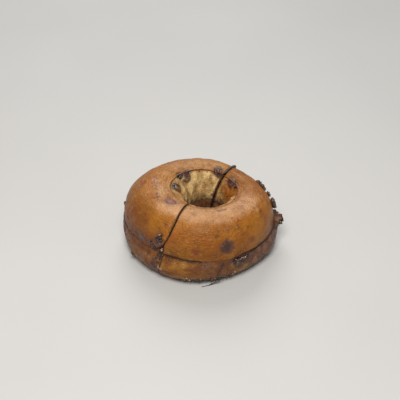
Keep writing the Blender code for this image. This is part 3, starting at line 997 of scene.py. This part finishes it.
def makeBerries(material):
    tree = berryTree(material)
    for number, (name, berry) in enumerate(berries.items()):
        turned = Matrix(axesOn(berry["on"], *berry["at"])).transposed().to_4x4()
        out = Vector(turned.col[2][:3])
        turned.translation = berry["centre"] - out * 1.3 * mm * smooth(berry["cover"], 0.3, 1.0)
        sizes = {**berryShape, "Radius": berry["radius"] * mm, "Seed": number + 1.0, "Cover": berry["cover"]}
        piece = grow(name + "Fruit", tree, sizes, material)
        piece.data.transform(turned)
        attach(piece, "root")
        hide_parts(name)


scatterSizes = {"Count": 10.0, "From": 0.0, "To": 0.0, "Over from": 0.0, "Over to": 0.0,
                "Smallest": 0.4 * mm, "Largest": 0.9 * mm, "Lift": 0.0, "Seed": 1.0}


def scatterTree(name, on, curled, material):
    # lumps or curled shreds strewn between two angles and two places over the crust
    profile, sizes = profiles[on]
    tree, size = newTree(name, {**ring, **sizes, "Hole X": 0.0, "Hole Y": 0.0, **scatterSizes})

    def chance(low, high, step):
        return make(tree, "FunctionNodeRandomValue", {"data_type": "FLOAT"},
                    {2: low, 3: high, "Seed": size["Seed"] + float(step)}, 1)

    points = make(tree, "GeometryNodePoints", None, {"Count": size["Count"]})
    around, over = chance(size["From"], size["To"], 1), chance(size["Over from"], size["Over to"], 2)
    radius, height = profile(size, around, over)
    radius = radius + size["Lift"]
    spot = roundAxis(size, around, radius, height)
    points = placed(tree, points, spot)
    if curled:
        arc = make(tree, "GeometryNodeCurveArc", None,
                   {"Resolution": 9, "Radius": 1.0, "Sweep Angle": 2.3})
        along = make(tree, "GeometryNodeSplineParameter")
        thin = make(tree, "GeometryNodeSetCurveRadius", None,
                    {"Curve": arc, "Radius": 0.15 + 1.0 * sinOf(along * 3.0)})
        section = make(tree, "GeometryNodeCurvePrimitiveCircle", None, {"Resolution": 6, "Radius": 0.28})
        lump = make(tree, "GeometryNodeCurveToMesh", None,
                    {"Curve": thin, "Profile Curve": section, "Fill Caps": True})
    else:
        lump = make(tree, "GeometryNodeMeshIcoSphere", None, {"Radius": 1.0, "Subdivisions": 3})
    turned = combined(tree, chance(0.0, 6.28, 3), chance(0.0, 6.28, 4), chance(0.0, 6.28, 5))
    scale = chance(size["Smallest"], size["Largest"], 6)
    scale = combined(tree, scale, scale * chance(0.6, 1.1, 7), scale * chance(0.4, 0.9, 8))
    strewnLumps = make(tree, "GeometryNodeInstanceOnPoints", None,
                       {"Points": points, "Instance": lump, "Rotation": turned, "Scale": scale})
    whole = make(tree, "GeometryNodeRealizeInstances", None, {"Geometry": strewnLumps})
    place = position(tree)
    shape = pushed(tree, whole, size["Smallest"] * 1.1 * noise(place, 900.0, 2.0, 2.0))
    finishTree(tree, shape, material)
    return tree


# Torn bits: the crust they lie on, curled or not, angles and places over the section, count,
# sizes in mm and lift in mm
tornBits = {
    "wetBits": {
        "holeCluster": ("crown", False, (126, 152), (0.670, 0.725), 26, (0.45, 1.35), 0.1),
        "holeClusterLow": ("crown", False, (166, 184), (0.715, 0.750), 9, (0.40, 1.10), 0.1),
        "holeClusterRight": ("crown", False, (6, 27), (0.665, 0.700), 14, (0.40, 1.10), 0.1),
        "frontLeftHigh": ("crown", False, (233, 237), (0.090, 0.180), 12, (0.35, 1.10), 0.3),
        "frontLeftLow": ("crown", False, (227, 238), (0.010, 0.070), 20, (0.35, 1.15), 0.3),
        "junction": ("heel", False, (234, 239), (0.90, 0.995), 14, (0.40, 1.00), 0.0),
        "tornBerry": ("heel", False, (-72, -58), (0.900, 0.975), 30, (0.30, 1.00), 0.4),
    },
    "darkShreds": {
        "flankHigh": ("crown", False, (4, 13), (0.300, 0.335), 16, (0.7, 1.7), 0.7),
        "flankHighLow": ("crown", False, (0, 5), (0.255, 0.300), 10, (0.6, 1.3), 0.6),
        "flankMiddle": ("crown", False, (-3, 2), (0.190, 0.245), 14, (0.6, 1.4), 0.8),
        "flankLow": ("crown", False, (-10, -2), (0.120, 0.180), 40, (0.8, 1.8), 1.3),
        "flankCurls": ("crown", True, (-10, -2), (0.13, 0.18), 6, (0.9, 1.5), 1.4),
        "lipLumps": ("heel", False, (-20, 4), (0.93, 1.0), 34, (0.5, 1.2), 0.2),
        "lipCurls": ("heel", True, (-17, 4), (0.95, 1.0), 20, (0.8, 1.6), 0.3),
        "lipBeads": ("heel", False, (-13, -9), (0.93, 1.0), 4, (0.7, 1.0), 1.8),
        "footFront": ("heel", False, (-110, -68), (0.62, 0.68), 26, (0.4, 1.2), -0.3),
        "footRight": ("heel", False, (-58, -20), (0.62, 0.70), 12, (0.4, 1.0), -0.3),
        "footLeft": ("heel", False, (150, 238), (0.62, 0.68), 10, (0.4, 0.9), -0.4),
        "footBack": ("heel", False, (0, 150), (0.60, 0.68), 18, (0.4, 1.0), -0.4),
        "leftEdge": ("crown", False, (179, 184), (0.06, 0.14), 5, (0.4, 0.9), 0.0),
        "leftEdgeLow": ("heel", False, (180, 205), (0.88, 1.0), 8, (0.5, 1.0), -0.5),
        "blackDot": ("heel", False, (209, 213), (0.64, 0.67), 4, (0.6, 1.1), 0.6),
        "sliceRight": ("heel", True, (-50, -20), (0.985, 1.0), 8, (0.4, 0.9), 0.2),
    },
    "crumbsAndGlints": {
        "junctionCrumbs": ("heel", False, (237.5, 239.5), (0.72, 0.78), 9, (0.35, 0.85), 0.3),
        "junctionHigh": ("crown", False, (236.5, 238), (0.035, 0.065), 3, (0.5, 0.9), 0.8),
        # pale lumps set on the berry clusters as painted glints
        "clusterGlint": ("crown", False, (234.5, 235.5), (0.165, 0.180), 2, (0.5, 0.8), 0.9),
        "tornGlints": ("heel", False, (-70, -60), (0.940, 0.985), 9, (0.25, 0.60), 0.7),
        "cutLip": ("crown", False, (240.0, 241.2), (0.26, 0.29), 4, (0.30, 0.60), 0.2),
        "footCrumbs": ("heel", False, (-106, -64), (0.64, 0.70), 10, (0.3, 0.7), 0.3),
    },
}


def gathered(name, whole, material):
    # gathered shapes become one plain mesh with one finish
    mesh = bpy.data.meshes.new(name)
    whole.to_mesh(mesh)
    whole.free()
    mesh.shade_smooth()
    mesh.materials.clear()
    mesh.materials.append(material)
    return addObject(name, mesh)


def makeTornBits(materials):
    for kind, groups in tornBits.items():
        whole = bmesh.new()
        for number, (name, group) in enumerate(groups.items()):
            on, curled, angles, overs, count, sizes, lift = group
            tree = scatterTree(name + "Tree", on, curled, materials[kind])
            settings = {**ring, **profiles[on][1], "Hole X": holeX, "Hole Y": holeY, "Count": count,
                        "From": math.radians(angles[0]), "To": math.radians(angles[1]),
                        "Over from": overs[0], "Over to": overs[1], "Smallest": sizes[0] * mm,
                        "Largest": sizes[1] * mm, "Lift": lift * mm, "Seed": 10.0 * number + 3.0}
            part = grow(name, tree, settings, materials[kind])
            whole.from_mesh(part.data)
            bpy.data.objects.remove(part)
        for corner in whole.verts:
            corner.co.z = max(corner.co.z, 0.0)
        piece = gathered(kind, whole, materials[kind])
        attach(piece, "root")
        print(kind, len(piece.data.polygons), "faces")


# Threads: thickness and lift in mm, and points, each a spot on the bread or a place in mm
threads = {
    "hanging": {
        "on": "heel",
        "thick": 0.33,
        "lift": 1.25,
        "points": (
            ("on", -78.6, 0.990), ("on", -79.0, 0.950), ("on", -80.2, 0.890), ("on", -81.8, 0.827),
            ("on", -82.6, 0.720), ("at", 9.0, -45.4, 3.2), ("at", 7.8, -46.6, 0.7),
            ("at", 5.2, -47.6, 0.4), ("at", 2.6, -48.3, 0.5), ("at", -0.6, -49.4, 0.4),
        ),
    },
    "loose": {
        "on": "heel",
        "thick": 0.26,
        "lift": 0.9,
        "points": (
            ("on", -80.6, 0.70), ("at", 11.0, -46.0, 1.6), ("at", 8.6, -46.8, 0.9),
            ("at", 6.2, -46.6, 1.2), ("at", 4.4, -47.4, 0.4),
        ),
    },
    # a stiff twist that bridges the back stroke beside its tip
    "tip": {
        "on": "crown",
        "thick": 1.05,
        "lift": 0.7,
        "points": (
            ("on", 49.5, 0.335), ("on", 49.0, 0.370), ("on", 48.0, 0.450),
            ("on", 47.5, 0.560), ("on", 50.0, 0.630), ("on", 56.0, 0.675),
        ),
    },
}


def makeThreads(material):
    # thin threads of torn skin that hang from the slice and trail beside the foot
    whole = bmesh.new()
    for name, thread in threads.items():
        curve = bpy.data.curves.new(name, "CURVE")
        curve.dimensions = "3D"
        curve.bevel_depth = thread["thick"] * mm
        curve.bevel_resolution = 2
        curve.use_fill_caps = True
        spline = curve.splines.new("NURBS")
        spline.points.add(len(thread["points"]) - 1)
        spline.use_endpoint_u = True
        spline.order_u = 4
        spline.resolution_u = 8
        for number, (point, (kind, *values)) in enumerate(zip(spline.points, thread["points"])):
            if kind == "on":
                out = axesOn(thread["on"], *values)[2]
                place = spotOn(thread["on"], *values) + thread["lift"] * mm * out
            else:
                place = Vector((values[0] * mm, values[1] * mm, values[2] * mm))
            point.co = (*place, 1.0)
            point.radius = 1.15 - 0.75 * number / len(thread["points"])
        holder = addObject(name, curve)
        seen = holder.evaluated_get(bpy.context.evaluated_depsgraph_get())
        whole.from_mesh(bpy.data.meshes.new_from_object(seen))
        bpy.data.objects.remove(holder)
    bmesh.ops.remove_doubles(whole, verts=whole.verts, dist=0.01 * mm)
    piece = gathered("skinThreads", whole, material)
    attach(piece, "root")


table = {"half": 3.0, "drop": 0.1 * mm}


def makeFloor():
    half = table["half"]
    corners = [(-half, -half, 0), (half, -half, 0), (half, half, 0), (-half, half, 0)]
    mesh = bpy.data.meshes.new("table")
    mesh.from_pydata(corners, [], [(0, 1, 2, 3)])
    mesh.materials.append(floorMaterial())
    floor = addObject("table", mesh)
    floor.location.z = -table["drop"]


studio = {
    "sky": 0.25,
    "aim": (0.0, 0.0, 0.02),
    "overhead": {
        "spot": (-0.05, -0.42, 0.80),
        "size": 0.5,
        "power": 7.4,
        "colour": (1.0, 0.98, 0.95),
    },
    "window": {
        "spot": (-0.1, 1.1, 1.05),
        "size": 1.0,
        "power": 11.0,
        "colour": (1.0, 0.99, 0.98),
    },
}


def addLight(name):
    light = studio[name]
    data = bpy.data.lights.new(name, "AREA")
    data.shape = "DISK"
    data.size = light["size"]
    data.energy = light["power"]
    data.color = light["colour"]
    lamp = addObject(name, data)
    lamp.location = light["spot"]
    aim = Vector(studio["aim"]) - Vector(light["spot"])
    lamp.rotation_euler = aim.to_track_quat("-Z", "Y").to_euler()


def makeLights():
    world = bpy.data.worlds.new("studio")
    bpy.context.scene.world = world
    world.use_nodes = True
    backdrop = world.node_tree.nodes["Background"]
    backdrop.inputs["Color"].default_value = (1.0, 1.0, 1.0, 1.0)
    backdrop.inputs["Strength"].default_value = studio["sky"]
    addLight("overhead")
    addLight("window")


# Where the camera looks from: metres, and degrees for the elevation and the aim
camera = {
    "height": 19 * mm,
    "right": -1.62 * mm,
    "back": -0.12 * mm,
    "distance": 0.5,
    "elevation": 38.5,
    "aim": 1.31,
    "sensor": 36.0,
    "lens": 65.8,
    "nearest": 0.01,
}


def makeCamera():
    target = Vector((boxMiddle[0] + camera["right"], boxMiddle[1] + camera["back"], camera["height"]))
    rise = math.radians(camera["elevation"])
    spot = target + camera["distance"] * Vector((0, -math.cos(rise), math.sin(rise)))
    data = bpy.data.cameras.new("camera")
    data.sensor_width = camera["sensor"]
    data.lens = camera["lens"]
    data.clip_start = camera["nearest"]
    eye = addObject("camera", data)
    eye.location = spot
    eye.rotation_euler = (math.pi / 2 - rise + math.radians(camera["aim"]), 0, 0)
    bpy.context.scene.camera = eye
    bpy.context.scene.view_settings.view_transform = "Standard"


crownCrust = crustMaterial("crownCrust", "crown", crownPaint)
heelCrust = crustMaterial("heelCrust", "heel", heelPaint)
blueberry = berryMaterial()
bitMaterials = {
    "wetBits": shredMaterial("wetFruit", (0.010, 0.005, 0.007), (0.055, 0.022, 0.024), 0.12),
    "darkShreds": shredMaterial("tornSkin", (0.032, 0.015, 0.010), (0.135, 0.066, 0.042), 0.42),
    "crumbsAndGlints": shredMaterial("looseCrumbAndGlint", (0.22, 0.11, 0.055), (0.60, 0.44, 0.32), 0.35),
}
print("finishes made")
breadPiece("crown_left", "crown", crownRelief, "left", crownCrust)
breadPiece("crown_right", "crown", crownRelief, "right", crownCrust)
breadPiece("heel_left", "heel", heelRelief, "left", heelCrust)
breadPiece("heel_right", "heel", heelRelief, "right", heelCrust)
print("bread made")
makeBerries(blueberry)
makeTornBits(bitMaterials)
makeThreads(shredMaterial("skinThread", (0.016, 0.008, 0.006), (0.085, 0.044, 0.030), 0.50))
print("berries, torn bits and threads made")
makeFloor()
makeLights()
makeCamera()
print("studio made")
